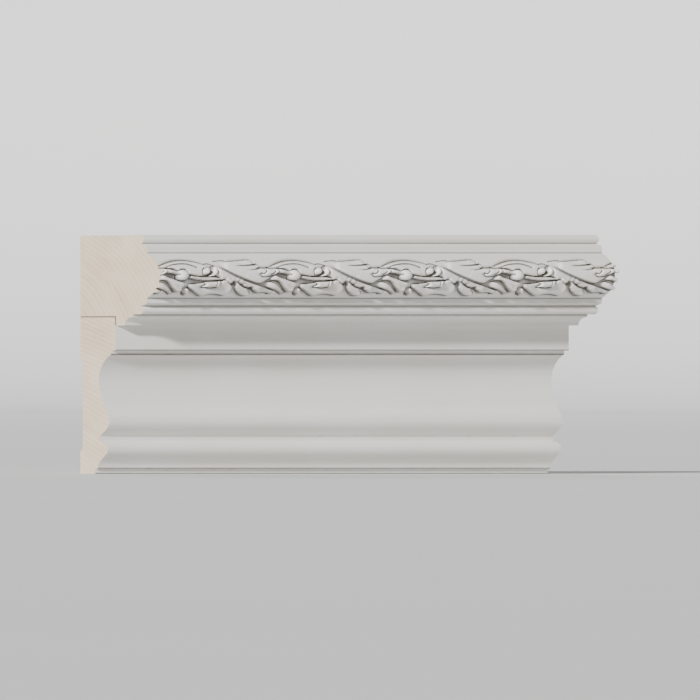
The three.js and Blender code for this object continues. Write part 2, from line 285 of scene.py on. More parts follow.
def ring(middle, radius, first, last, points=9):
    """Points on part of a circle, from one angle to another in degrees."""
    return [(middle[0] + radius * math.cos(t), middle[1] + radius * math.sin(t))
            for t in np.radians(np.linspace(first, last, points))]


# Lines that are cut into the work: how deep, how wide on each side, and where. Those at a start, an end, an
# edge or a tip run just inside an outline whose own edge hardly shows from the left.
CUTS = {
    "berry_ring": (1.2, 0.65, ring(*BALLS["berry"][:2], 150, -150)),
    "scroll_groove": (0.7, 0.65, [(6.7, 4.7), (9.6, 5.8), (13.3, 6.3), (16.4, 6.3), (19.6, 5.6),
                                  (23, 4.3)]),
    "volute_spiral": (1, 0.6, [(26.7, 4), (25.9, 2.7), (26.2, 0.9), (27.7, 0), (29.3, 1.1), (29.8, 3),
                               (29.3, 4.8), (28.1, 5.6)]),
    "finger_end": (0.9, 0.55, [(62.6, 4.3), (64.8, 3.8), (65.5, 2.7), (65, 1.5), (63.2, 0.5)]),
    "blade_start": (0.5, 0.5, [(33.6, 7.6), (36.5, 8), (39.5, 8.2)]),
    "blade_tip": (0.7, 0.5, [(50.5, 8.4), (53.2, 7.5), (54.9, 6), (56.4, 4.4)]),
    "scrap_end": (0.7, 0.5, [(36.2, -2.5), (34.5, -3.7), (33.3, -5.3), (32.6, -6.3)]),
    "droop_edge": (0.7, 0.5, [(77.2, -5.2), (77.7, -6.9), (77.6, -8.6), (77.6, -10.2)]),
    "drop_tip": (0.7, 0.5, [(50.9, -7.7), (51.8, -8.9), (52, -10), (51.2, -11.2)]),
    "lower_tip_end": (0.7, 0.5, [(64.7, -8.4), (64.4, -9.4), (62.7, -10)]),
    "finger_curl": (0.9, 0.6, [(61.2, 3.8), (61.1, 2.4), (60.1, 1.2), (59, 1), (58.3, 1.4)]),
    "midrib": (0.6, 0.55, [(28.3, 5.9), (30.6, 6.3), (33.8, 5.3), (37.5, 3.2), (42.7, 0.5), (48, -1.8),
                           (53.3, -3.9), (58.5, -5.7), (63.8, -7.7), (65.6, -8.4)]),
    "keyhole_slit": (1.4, 0.6, [(43.6, -5), (43.6, -7.6)]),
}

# Eyes that are drilled down to the torus: where their middle stands, and their radius. Their wall lies
# between two shares of the radius.
EYES = {
    "keyhole": ((42.4, -4.2), 1.4),
    "lower_eye": ((52, -7), 1.1),
}
EYE_WALL = (0.8, 1.1)

# A lobe's edge: how far it stands inside the drawn one, how it is rolled over, the crease along it and the
# wider dip behind it, both deep and wide, and the lowest that any of the work lies
EDGE_INSET = 0.35
ROLL_DEPTH, ROLL_WIDTH = 0.6, 1
CREASE_DEPTH, CREASE_WIDTH = 1.05, 0.5
DIP_DEPTH, DIP_WIDTH = 0.4, 1.4
DEEPEST = -1

# Where edges, cut lines and eyes are placed along the rail, by their relief
ROLL_SHARE = 0.8  # how much of its roll an edge has lost where it is drawn
FOOT_SHARE = 0.8  # how much of its relief lies between the foot and the brow of an edge that faces left
TURN_SOFTNESS = 0.4  # how softly edges turn from facing right to facing left
CUT_RELIEF = 2
EYE_RELIEF = 0.8

# How a lobe covers what is behind it
COVER_SOFTNESS = 0.25
FADE_START = 0.4  # the share of a fade over which nothing of the lobe shows
FLUTE_FLOOR = 0.3  # how much of its swell a lobe keeps between its flutes
LOBE_MARGIN = 3
EDGE_FADE = 0.25  # how far from the torus's edges the work begins

# Where shade is painted on the carving, and where crests are worn. Reliefs are averaged over a few cells of
# the carving.
CREASE_GAINS = ((2, 4), (1, 6))  # cells, and how strongly creases of that width take painted shade
CREASE_FLOOR = 0.2
GROUND_SHADE = 0.75
GROUND_RELIEF = 0.8  # the highest that counts as ground
GROUND_CELLS = 6
GROUND_SHELTER = (0.1, 0.7)  # the relief round about at which ground starts to take painted shade, and has it all
CREST_CELLS, CREST_GAIN = 3, 2


def smooth(low, high, value):
    """From 0 below low to 1 above high, with a soft start and end."""
    share = np.clip((value - low) / (high - low), 0, 1)
    return share * share * (3 - 2 * share)


def spline(points, steps=7):
    """A smooth line through the points."""
    p = np.array(points, float)
    ends = np.vstack([p[0], p, p[-1]])
    t = (np.arange(steps) / steps)[:, None]
    runs = []
    for a, b, c, d in zip(ends, ends[1:], ends[2:], ends[3:]):
        into = (c - a) / 2
        out = (d - b) / 2
        cubed = 2 * b - 2 * c + into + out
        squared = 3 * c - 3 * b - 2 * into - out
        runs.append(cubed * t ** 3 + squared * t ** 2 + into * t + b)
    return np.vstack([*runs, p[-1:]])


def nearest(points, line):
    """Each point's distance to a line, and how far along the line its nearest place is, from 0 to 1."""
    start, run = line[:-1], np.diff(line, axis=0)
    run_squared = np.maximum((run ** 2).sum(1), TINY ** 2)
    reach = points[:, None, :] - start
    t = np.clip((reach * run).sum(2) / run_squared, 0, 1)
    distance = np.sqrt(((reach - t[..., None] * run) ** 2).sum(2))
    closest = distance.argmin(1)
    rows = np.arange(len(points))
    return distance[rows, closest], (closest + t[rows, closest]) / len(run)


def inside(points, outline):
    """Whether each point is inside a closed outline."""
    x, y = points.T
    found = np.zeros(len(points), bool)
    for (ax, ay), (bx, by) in zip(outline, np.roll(outline, -1, axis=0)):
        if ay == by:
            continue
        crosses = (ay > y) != (by > y)
        found ^= crosses & (x < (bx - ax) * (y - ay) / (by - ay) + ax)
    return found


def drawn_along(x, v, start, relief):
    """How far along its repeat a place on the torus is drawn, for work of the given relief."""
    return x - start + np.sqrt((TORUS_RADIUS + relief) ** 2 - v ** 2) - TORUS_RADIUS - MEAN_RELIEF


def dipped(ground, gap, shown):
    """The ground with a crease and a wider dip beside an edge, from its distance to the edge."""
    crease = CREASE_DEPTH * np.exp(-(gap / CREASE_WIDTH) ** 2)
    dip = DIP_DEPTH * np.exp(-(gap / DIP_WIDTH) ** 2)
    return ground - (crease + dip) * shown


def placed_edges(upper, lower, relief):
    """A lobe's edges as they stand: they are drawn by the brow facing right, and by the foot facing left."""
    upper, lower = spline(upper), spline(lower)
    outline = np.vstack([upper, lower[::-1]])
    run = np.roll(outline, -1, axis=0) - np.roll(outline, 1, axis=0)
    run /= np.maximum(np.linalg.norm(run, axis=1), TINY)[:, None]
    beside = np.roll(outline, -1, axis=0)
    area = (outline[:, 0] * beside[:, 1] - beside[:, 0] * outline[:, 1]).sum()
    facing_left = -run[:, 1] * math.copysign(1, area)
    turned = smooth(-TURN_SOFTNESS, TURN_SOFTNESS, facing_left)
    outline[:, 0] += EDGE_INSET + (FOOT_SHARE * relief - EDGE_INSET) * turned
    return outline[:len(upper)], outline[len(upper):][::-1]


def close_to(line, u, v, margin):
    """Whether each place is within a margin of the box round a line."""
    low, high = line.min(axis=0) - margin, line.max(axis=0) + margin
    return (u > low[0]) & (u < high[0]) & (v > low[1]) & (v < high[1])


def lay_lobe(ground, x, v, start, lobe):
    """Lays one lobe over the work behind it, and sinks that work a little along the lobe's edges."""
    root_height, tip_height = lobe["heights"]
    form = FORMS[lobe["form"]]
    edge_relief = (form(0, 0) + form(1, 0)) / 2 * (root_height + tip_height) / 2 - ROLL_SHARE * ROLL_DEPTH
    u = drawn_along(x, v, start, edge_relief)
    upper, lower = placed_edges(lobe["upper"], lobe["lower"], edge_relief)
    outline = np.vstack([upper, lower[::-1]])
    near = close_to(outline, u, v, LOBE_MARGIN)
    if not near.any():
        return
    points = np.column_stack([u[near], v[near]])
    upper_gap, upper_place = nearest(points, upper)
    lower_gap, lower_place = nearest(points, lower)
    edge_gap = nearest(points, np.vstack([outline, outline[:1]]))[0]
    signed = np.where(inside(points, outline), edge_gap, -edge_gap) - EDGE_INSET
    along = (upper_place + lower_place) / 2
    across = upper_gap / np.maximum(upper_gap + lower_gap, TINY)
    swell = np.sin(np.pi * across)
    flutes = lobe.get("flutes", 0)
    if flutes:
        swell = swell * (FLUTE_FLOOR + (1 - FLUTE_FLOOR) * np.abs(np.sin(np.pi * flutes * along)))
    shown = 1
    open_sides = (np.array([upper[0], lower[0]]), np.array([upper[-1], lower[-1]]), lower)
    for fade, side in zip(lobe["fades"], open_sides):
        if fade:
            shown = shown * smooth(FADE_START * fade, fade, nearest(points, side)[0])
    cover = smooth(-COVER_SOFTNESS, COVER_SOFTNESS, signed) * shown
    rolled = ROLL_DEPTH * np.exp(-(edge_gap / ROLL_WIDTH) ** 2)
    surface = (root_height + (tip_height - root_height) * along) * form(across, swell) - rolled
    ground[near] = dipped(ground[near], signed, shown) * (1 - cover) + surface * cover


def cut_line(ground, x, v, start, depth, width, line):
    """Cuts a V-shaped line into the work."""
    u = drawn_along(x, v, start, CUT_RELIEF)
    path = spline(line)
    near = close_to(path, u, v, width)
    if not near.any():
        return
    gap = nearest(np.column_stack([u[near], v[near]]), path)[0]
    ground[near] -= depth * (1 - smooth(0, width, gap))


def add_ball(ground, x, v, start, middle, radius, rise):
    """Sets a round boss on the work."""
    u = drawn_along(x, v, start, rise / 2)
    gap = np.hypot(u - middle[0], v - middle[1])
    ground[:] = np.maximum(ground, rise * np.sqrt(np.clip(1 - (gap / radius) ** 2, 0, 1)))


def drill_eye(ground, x, v, start, middle, radius):
    """Drills a round eye through the work down to the torus. Gives where it is."""
    u = drawn_along(x, v, start, EYE_RELIEF)
    inner, outer = (share * radius for share in EYE_WALL)
    drilled = 1 - smooth(inner, outer, np.hypot(u - middle[0], v - middle[1]))
    ground *= 1 - drilled
    return drilled


def carved_relief(x, v):
    """How far the carving stands out from the torus at each place, and where an eye is drilled."""
    relief = np.zeros_like(x)
    first = REPEAT_START - 2 * REPEAT_LENGTH
    starts = np.arange(first, LENGTH + REPEAT_LENGTH, REPEAT_LENGTH)
    for lobe in LOBES.values():
        for start in starts:
            lay_lobe(relief, x, v, start, lobe)
    for middle, radius, rise in BALLS.values():
        for start in starts:
            add_ball(relief, x, v, start, middle, radius, rise)
    for depth, width, line in CUTS.values():
        for start in starts:
            cut_line(relief, x, v, start, depth, width, line)
    eyes = np.zeros_like(x)
    for middle, radius in EYES.values():
        for start in starts:
            eyes = np.maximum(eyes, drill_eye(relief, x, v, start, middle, radius))
    edge = smooth(0, EDGE_FADE, TORUS_HALF_HEIGHT - np.abs(v))
    return np.maximum(relief, DEEPEST) * edge, eyes


def blurred(grid, radius):
    """The grid, averaged over a few cells each way."""
    reach = 3 * radius
    steps = np.arange(-reach, reach + 1)
    weights = np.exp(-(steps / radius) ** 2 / 2)
    weights /= weights.sum()
    for _ in range(2):
        padded = np.pad(grid, ((reach, reach), (0, 0)), mode="edge")
        shifted = (padded[reach - step:len(padded) - reach - step] for step in steps)
        grid = sum(weight * cells for weight, cells in zip(weights, shifted)).T
    return grid


def painted_carving_shade(relief, eyes):
    """How much painted shade the carving takes: in creases, on sunk ground, in the eyes and along its two
    edges.
    """
    creased = sum(gain * (blurred(relief, cells) - relief) for cells, gain in CREASE_GAINS) - CREASE_FLOOR
    sheltered = smooth(*GROUND_SHELTER, blurred(relief, GROUND_CELLS))
    recessed = GROUND_SHADE * (1 - smooth(0, GROUND_RELIEF, relief)) * sheltered
    hollow = np.clip(np.maximum(creased, recessed), eyes, 1)
    # The torus's two edge rows, where it meets the fillets, take the full painted shade
    hollow[:, [0, -1]] = 1
    return hollow


def arc(depth, height, radius, start, end, steps=ARC_STEPS):
    """Points on an arc, from one angle in degrees to another. At 0 it points straight out from the wall."""
    turn = np.radians(np.linspace(start, end, steps + 1))
    return [(depth + radius * math.cos(t), height + radius * math.sin(t)) for t in turn]


def bead(nose, radius, top, bottom):
    """A bead's round nose, from its top down."""
    half = math.degrees(math.asin((top - bottom) / 2 / radius))
    return arc(nose - radius, (top + bottom) / 2, radius, half, -half)


def curve(*controls, steps=ARC_STEPS):
    """Points on a Bezier curve of four control points, without its first one."""
    a, b, c, d = (np.array(p, float) for p in controls)
    t = (np.arange(1, steps + 1) / steps)[:, None]
    points = a * (1 - t) ** 3 + 3 * b * t * (1 - t) ** 2 + 3 * c * t ** 2 * (1 - t) + d * t ** 3
    return [tuple(p) for p in points]


def cap_outline():
    """The cap's section without its torus: from the top of the torus over the back to the torus's foot."""
    behind_lip = BOARD_THICKNESS + GLUE_LINE
    rebate_height = BOARD_HEIGHT + GLUE_LINE
    cove = arc(COVE_FILLET_DEPTH, LIP_HEIGHT, COVE_RADIUS, 90, 180)
    top_bead = bead(TOP_BEAD_NOSE, BEAD_RADIUS, CAP_TOP, TOP_BEAD_BOTTOM)
    lower_bead = bead(LOWER_BEAD_NOSE, BEAD_RADIUS, LOWER_BEAD_TOP, LOWER_BEAD_BOTTOM)
    return [
        (FILLET_DEPTH, UPPER_FILLET_TOP), *top_bead[::-1], (0, CAP_TOP),
        (0, rebate_height), (behind_lip, rebate_height), (behind_lip, LIP_HEIGHT),
        *cove[::-1], (COVE_FILLET_DEPTH, LOWER_BEAD_BOTTOM),
        *lower_bead[::-1], (FILLET_DEPTH, LOWER_FILLET_BOTTOM),
    ]


def board_outline():
    """The lower board's section, from the back's top over the face to the foot and up the back."""
    ogee_top = FOOT_HEIGHT + BASE_OGEE_HEIGHT
    body_bottom = ogee_top + BASE_FILLET_HEIGHT

    def base(share):
        return FOOT_HEIGHT + BASE_OGEE_HEIGHT * share

    def body(share):
        return body_bottom + BODY_OGEE_HEIGHT * share

    def swell(share):
        return BODY_HOLLOW_DEPTH + (BODY_NOSE_DEPTH - BODY_HOLLOW_DEPTH) * share

    face_bottom = body(1) + BODY_FILLET_HEIGHT
    body_top = (BODY_FILLET_DEPTH, body(1))
    upper_turn = (BODY_HOLLOW_DEPTH, body(0.69))
    middle_turn = (swell(0.45), body(0.38))
    nose = (BODY_NOSE_DEPTH, body(0.18))
    under_nose = ((BODY_NOSE_DEPTH + BASE_FILLET_DEPTH) / 2, body(0.055))
    base_top = (BASE_FILLET_DEPTH, ogee_top)
    over_base_nose = ((BASE_FILLET_DEPTH + BASE_NOSE_DEPTH) / 2, ogee_top)
    base_nose = (BASE_NOSE_DEPTH, base(0.75))
    base_shoulder = (BASE_NOSE_DEPTH, base(0.75) + BASE_OGEE_HEIGHT * 0.16)
    base_hollow = (BASE_HOLLOW_DEPTH, base(0.36))
    return [
        (0, BOARD_HEIGHT), (BOARD_THICKNESS, BOARD_HEIGHT), (BOARD_THICKNESS, face_bottom),
        (BODY_FILLET_DEPTH, face_bottom), body_top,
        *curve(body_top, (swell(0.5), body(0.95)), (BODY_HOLLOW_DEPTH, body(0.81)), upper_turn),
        *curve(upper_turn, (BODY_HOLLOW_DEPTH, body(0.58)), (swell(0.27), body(0.47)), middle_turn),
        *curve(middle_turn, (swell(0.65), body(0.3)), (BODY_NOSE_DEPTH, body(0.26)), nose),
        *curve(nose, (BODY_NOSE_DEPTH, body(0.11)), under_nose, (BASE_FILLET_DEPTH, body_bottom)),
        base_top, *curve(base_top, over_base_nose, base_shoulder, base_nose),
        *curve(base_nose, (BASE_NOSE_DEPTH, base(0.45)), base_hollow, (BASE_HOLLOW_DEPTH, FOOT_HEIGHT)),
        (FOOT_DEPTH, FOOT_HEIGHT), (FOOT_DEPTH, 0), (0, 0), (0, BACK_RELIEF_BOTTOM),
        (BACK_RELIEF_DEPTH, BACK_RELIEF_BOTTOM + BACK_RELIEF_DEPTH),
        (BACK_RELIEF_DEPTH, BACK_RELIEF_TOP - BACK_RELIEF_DEPTH), (0, BACK_RELIEF_TOP),
    ]


def eased(outline, ends=None):
    """The section with eased corners: each point, and how much it is an inner corner and an arris."""
    points = [np.array(p, float) for p in outline]
    before_all, after_all = ends if ends else (points[-1], points[0])
    made = []
    for i, point in enumerate(points):
        before = points[i - 1] if i else np.array(before_all, float)
        after = points[i + 1] if i + 1 < len(points) else np.array(after_all, float)
        back, ahead = before - point, after - point
        turn = math.atan2(-back[0] * ahead[1] + back[1] * ahead[0], -back @ ahead)
        if abs(turn) < SHARP_TURN:
            made.append((*point, 0, 0))
            continue
        # An inner corner is marked for painted shade, an arris for worn paint
        inner, arris = (1, 0) if turn < 0 else (0, 1)
        lengths = [np.linalg.norm(back), np.linalg.norm(ahead)]
        ways = [back / lengths[0], ahead / lengths[1]]
        first, last = (point + way * min(EASE, EASE_SHARE * length) for way, length in zip(ways, lengths))
        middle = (first + last) / 4 + point / 2
        end_marks = (inner * EASE_END_MARK, arris * EASE_END_MARK)
        if lengths[0] > GUARDED_SIDE:
            made.append((*(point + ways[0] * (EASE + GUARD)), 0, 0))
        made += [(*first, *end_marks), (*middle, inner, arris), (*last, *end_marks)]
        if lengths[1] > GUARDED_SIDE:
            made.append((*(point + ways[1] * (EASE + GUARD)), 0, 0))
    return np.array(made)


def in_row(x, depth, height):
    """Points in the rail's own frame, in metres."""
    return np.column_stack([(x - LENGTH / 2) * MM, -depth * MM, (height - ORIGIN_HEIGHT) * MM])


def run_section(section, columns):
    """The vertices and marks of a section run along the rail."""
    x = np.repeat(np.linspace(0, LENGTH, columns + 1), len(section))
    depth, height, inner, arris = np.tile(section, (columns + 1, 1)).T
    return in_row(x, depth, height), inner, arris


def grid_faces(columns, rows, first=0):
    """Quads between the points of a grid, numbered a column at a time."""
    i, j = np.meshgrid(np.arange(columns), np.arange(rows), indexing="ij")
    corner = (first + i * (rows + 1) + j).ravel()
    return np.column_stack([corner, corner + rows + 1, corner + rows + 2, corner + 1]).tolist()


def tube_faces(columns, rows):
    """Quads round a closed section that is run along, numbered a column at a time."""
    i, j = np.meshgrid(np.arange(columns), np.arange(rows), indexing="ij")
    here = (i * rows + j).ravel()
    beside = (i * rows + (j + 1) % rows).ravel()
    return np.column_stack([here, here + rows, beside + rows, beside]).tolist()


def joined_strip(fine, coarse):
    """Triangles between a row of many points and a row of few."""
    ratio = (len(fine) - 1) // (len(coarse) - 1)
    half = ratio // 2
    faces = []
    for i in range(len(fine) - 1):
        cell, place = divmod(i, ratio)
        faces.append((coarse[cell + (place >= half)], fine[i], fine[i + 1]))
        if place == half - 1:
            faces.append((coarse[cell], fine[i + 1], coarse[cell + 1]))
    return faces


def face_material(face):
    """Which of its piece's materials a face takes."""
    at_end = abs(abs(face.calc_center_median().x) - LENGTH / 2 * MM) < AT_END
    if at_end and abs(face.normal.x) > FACING_ALONG:
        return SAWN
    if face.normal.y > FACING_BACK and all(-v.co.y < BACK_REACH * MM for v in face.verts):
        return PLANED
    return PAINTED


def make_piece(name, points, faces, marks, materials, node):
    """A closed piece from its points and faces: painted in front, and bare at its sawn ends and its back."""
    mesh = bpy.data.meshes.new(name)
    mesh.from_pydata(points.tolist(), [], faces)
    for mark, values in marks.items():
        mesh.attributes.new(mark, "FLOAT", "POINT").data.foreach_set("value", values.astype(np.float32))
    work = bmesh.new()
    work.from_mesh(mesh)
    bmesh.ops.recalc_face_normals(work, faces=work.faces[:])
    for face in work.faces:
        face.material_index = face_material(face)
        face.smooth = face.material_index != SAWN
    for edge in work.edges:
        if len({face.material_index == SAWN for face in edge.link_faces}) > 1:
            edge.smooth = False
    many_sided = [face for face in work.faces if len(face.verts) > 4]
    bmesh.ops.triangulate(work, faces=many_sided, ngon_method="EAR_CLIP")
    work.to_mesh(mesh)
    work.free()
    for material in materials:
        mesh.materials.append(material)
    piece = bpy.data.objects.new(name, mesh)
    bpy.context.scene.collection.objects.link(piece)
    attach(piece, "root")
    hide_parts(node)


def carved_cap(materials):
    """The cap: the carved torus as a fine grid, and the plain mouldings round it as a coarse one."""
    half = math.asin(TORUS_HALF_HEIGHT / TORUS_RADIUS)
    turns, places = np.linspace(-half, half, CARVED_ROWS + 1), np.linspace(0, LENGTH, CARVED_COLUMNS + 1)
    turn, along = np.meshgrid(turns, places)
    v = TORUS_RADIUS * np.sin(turn)
    relief, eyes = (grid.reshape(v.shape) for grid in carved_relief(along.ravel(), v.ravel()))
    depth = TORUS_DEPTH + np.sqrt((TORUS_RADIUS + relief) ** 2 - v ** 2)
    carved = in_row(along.ravel(), depth.ravel(), (TORUS_MIDDLE + v).ravel())
    # Painted shade in the carving's creases, eyes and sunk ground, and worn paint on its crests
    hollow = painted_carving_shade(relief, eyes)
    crest = np.clip(CREST_GAIN * (relief - blurred(relief, CREST_CELLS)), 0, 1)

    section = eased(cap_outline(), ((FILLET_DEPTH, TORUS_TOP), (FILLET_DEPTH, TORUS_BOTTOM)))
    over_torus = (FILLET_DEPTH, TORUS_TOP + TORUS_GUARD, 0, 0)
    under_torus = (FILLET_DEPTH, TORUS_BOTTOM - TORUS_GUARD, 0, 0)
    section = np.vstack([over_torus, section, under_torus])
    plain, inner, arris = run_section(section, PLAIN_COLUMNS)
    first = len(carved)
    rows = len(section) - 1
    faces = grid_faces(CARVED_COLUMNS, CARVED_ROWS) + grid_faces(PLAIN_COLUMNS, rows, first)
    fine_foot = np.arange(CARVED_COLUMNS + 1) * (CARVED_ROWS + 1)
    coarse_top = first + np.arange(PLAIN_COLUMNS + 1) * (rows + 1)
    faces += joined_strip((fine_foot + CARVED_ROWS).tolist(), coarse_top.tolist())
    faces += joined_strip(fine_foot.tolist(), (coarse_top + rows).tolist())
    for column, plain_column in ((0, 0), (CARVED_COLUMNS, PLAIN_COLUMNS)):
        fine = fine_foot[column] + np.arange(CARVED_ROWS + 1)
        coarse = coarse_top[plain_column] + np.arange(rows + 1)
        faces.append([*fine.tolist(), *coarse.tolist()])
    # Painted shade in creases, eyes and inner corners, and worn paint on crests and arrises
    marks = {
        "hollow": np.concatenate([hollow.ravel(), inner]),
        "arris": np.concatenate([crest.ravel(), arris]),
    }
    points = np.vstack([carved, plain])
    make_piece("cap_carved_and_painted", points, faces, marks, materials, "carved_cap")


def lower_board(materials):
    """The lower board: its section, run along the rail."""
    section = eased(board_outline())
    points, inner, arris = run_section(section, PLAIN_COLUMNS)
    rows = len(section)
    faces = tube_faces(PLAIN_COLUMNS, rows)
    faces += [list(range(rows)), list(range(len(points) - rows, len(points)))]
    # Painted shade in the inner corners, and worn paint on the arrises
    marks = {"hollow": inner, "arris": arris}
    make_piece("lower_board_painted", points, faces, marks, materials, "lower_board")


def add(tree, kind, inputs=None, **settings):
    """A shader node with its settings, and its sockets set or linked."""
    node = tree.nodes.new(kind)
    for name, value in settings.items():
        setattr(node, name, value)
    for socket, value in (inputs or {}).items():
        if isinstance(value, bpy.types.NodeSocket):
            tree.links.new(value, node.inputs[socket])
        else:
            node.inputs[socket].default_value = value
    return node


def noise(tree, place, stretch, detail=3.0, roughness=0.55):
    """Noise whose grain has the given number of turns a metre along x, y and z."""
    scaled = add(tree, "ShaderNodeVectorMath", {0: place, 1: stretch}, operation="MULTIPLY")
    inputs = {"Vector": scaled.outputs[0], "Scale": 1.0, "Detail": detail, "Roughness": roughness}
    return add(tree, "ShaderNodeTexNoise", inputs).outputs[0]


def ranged(tree, value, low, high, to_low=0.0, to_high=1.0):
    """The value, moved from one range to another and kept in it."""
    inputs = {"Value": value, "From Min": low, "From Max": high, "To Min": to_low, "To Max": to_high}
    return add(tree, "ShaderNodeMapRange", inputs).outputs["Result"]


def calculated(tree, operation, *values):
    """What an operation makes of up to three values."""
    return add(tree, "ShaderNodeMath", dict(enumerate(values)), operation=operation).outputs[0]


def multiplied(tree, a, b):
    """Two values multiplied."""
    return calculated(tree, "MULTIPLY", a, b)


def mixed(tree, factor, a, b):
    """Two colours mixed by a factor."""
    factor_socket, first_colour, second_colour, mixed_colour = 0, 6, 7, 2
    inputs = {factor_socket: factor, first_colour: a, second_colour: b}
    return add(tree, "ShaderNodeMix", inputs, data_type="RGBA").outputs[mixed_colour]


def darkened(colour, share):
    """A colour with its three parts multiplied by a share."""
    return (*[part * share for part in colour[:3]], 1)


def bumped(tree, height, strength, distance, normal=None):
    """A surface direction that follows a height of so many metres, over the direction given."""
    inputs = {"Height": height, "Strength": strength, "Distance": distance}
    if normal is not None:
        inputs["Normal"] = normal
    return add(tree, "ShaderNodeBump", inputs).outputs["Normal"]


def new_material(name):
    """A new material, with its nodes, the place in its object and its main shader."""
    material = bpy.data.materials.new(name)
    material.use_nodes = True
    tree = material.node_tree
    place = add(tree, "ShaderNodeTexCoord").outputs["Object"]
    return material, tree, place, tree.nodes["Principled BSDF"]


def paint_material(name, colour):
    """Brushed satin paint over fine-grained wood, with painted shade in hollows, and rubbed thin along the
    arrises.
    """
    material, tree, place, shader = new_material(name)
    hollow = add(tree, "ShaderNodeAttribute", attribute_name="hollow").outputs["Fac"]
    arris = add(tree, "ShaderNodeAttribute", attribute_name="arris").outputs["Fac"]
    brush = noise(tree, place, (45, 1300, 1300), 4)
    grain = noise(tree, place, (14, 420, 420), 5, 0.6)
    broad = noise(tree, place, (22, 30, 30), 2)
    patches = noise(tree, place, (160, 500, 500), 4, 0.6)
    fine = noise(tree, place, (900, 900, 900), 2)
    warm = [part * share for part, share in zip(colour, WARMTH)]
    toned = mixed(tree, ranged(tree, broad, 0.35, 0.65), (*colour, 1), (*warm, 1))
    streaked = mixed(tree, ranged(tree, grain, 0.45, 0.75, 0, 0.35), toned, darkened(warm, 0.93))
    # Painted shade: the dark colour is mixed in where the mesh marks creases, eyes and inner corners
    shade_share = multiplied(tree, hollow, ranged(tree, patches, 0.25, 0.65, 0.85, 1))
    hollowed = mixed(tree, shade_share, streaked, SHADE_AND_GLUE_DARK)
    thin = multiplied(tree, arris, ranged(tree, patches, 0.58, 0.7, 0, 0.7))
    worn = mixed(tree, thin, hollowed, WORN_WOOD)
    tree.links.new(worn, shader.inputs["Base Color"])
    tree.links.new(ranged(tree, brush, 0.3, 0.7, 0.36, 0.5), shader.inputs["Roughness"])
    shader.inputs["Specular IOR Level"].default_value = 0.5
    shader.inputs["Coat Weight"].default_value = 0.12
    shader.inputs["Coat Roughness"].default_value = 0.3
    strokes = bumped(tree, brush, 0.3, 0.00012)
    raised = bumped(tree, grain, 0.35, 0.00016, strokes)
    tree.links.new(bumped(tree, fine, 0.12, 0.00008, raised), shader.inputs["Normal"])
    return material


def growth_rings(tree, place, pith):
    """Growth rings round a pith that runs along the rail: each darkens slowly outwards and ends at once."""
    offset = add(tree, "ShaderNodeVectorMath", {0: place, 1: pith}, operation="SUBTRACT").outputs[0]
    flat = add(tree, "ShaderNodeVectorMath", {0: offset, 1: (0, 1, 1)}, operation="MULTIPLY").outputs[0]
    radius = add(tree, "ShaderNodeVectorMath", {0: flat}, operation="LENGTH").outputs["Value"]
    season_inputs = {"W": multiplied(tree, radius, SEASONS_PER_METRE), "Detail": 1.0}
    seasons = add(tree, "ShaderNodeTexNoise", season_inputs, noise_dimensions="1D").outputs[0]
    wander = noise(tree, place, (5, 22, 22), 2)
    count = calculated(tree, "MULTIPLY_ADD", radius, 1 / RING_WIDTH, seasons)
    bent = calculated(tree, "MULTIPLY_ADD", wander, RING_WANDER, count)
    within = calculated(tree, "FRACT", bent)
    late = ranged(tree, within, 0.35, 0.9)
    early = ranged(tree, within, 0.93, 1, 1, 0)
    return multiplied(tree, late, early)


def within_reach(tree, value, middle, reach):
    """1 where a value is no further from the middle than the reach, and 0 elsewhere."""
    return calculated(tree, "COMPARE", value, middle, reach)


def joint_glue_and_shade(tree, place):
    """The dark glue line on the sawn ends, widened as painted shade: over the board's top, and down its face
    behind the cap's lip.
    """
    apart = add(tree, "ShaderNodeSeparateXYZ", {0: place}).outputs
    lip_low = (LIP_HEIGHT - ORIGIN_HEIGHT) * MM
    joint_high = (BOARD_HEIGHT + GLUE_LINE / 2 - ORIGIN_HEIGHT) * MM
    joint_out = -(BOARD_THICKNESS + GLUE_LINE / 2) * MM
    half = JOINT_LINE_WIDTH / 2 * MM
    over = within_reach(tree, apart["Z"], joint_high, half)
    over_board = within_reach(tree, apart["Y"], joint_out / 2, half - joint_out / 2)
    down = within_reach(tree, apart["Y"], joint_out, half)
    behind_lip = within_reach(tree, apart["Z"], (lip_low + joint_high) / 2, (joint_high - lip_low) / 2)
    top_line, face_line = multiplied(tree, over, over_board), multiplied(tree, down, behind_lip)
    return calculated(tree, "MAXIMUM", top_line, face_line)


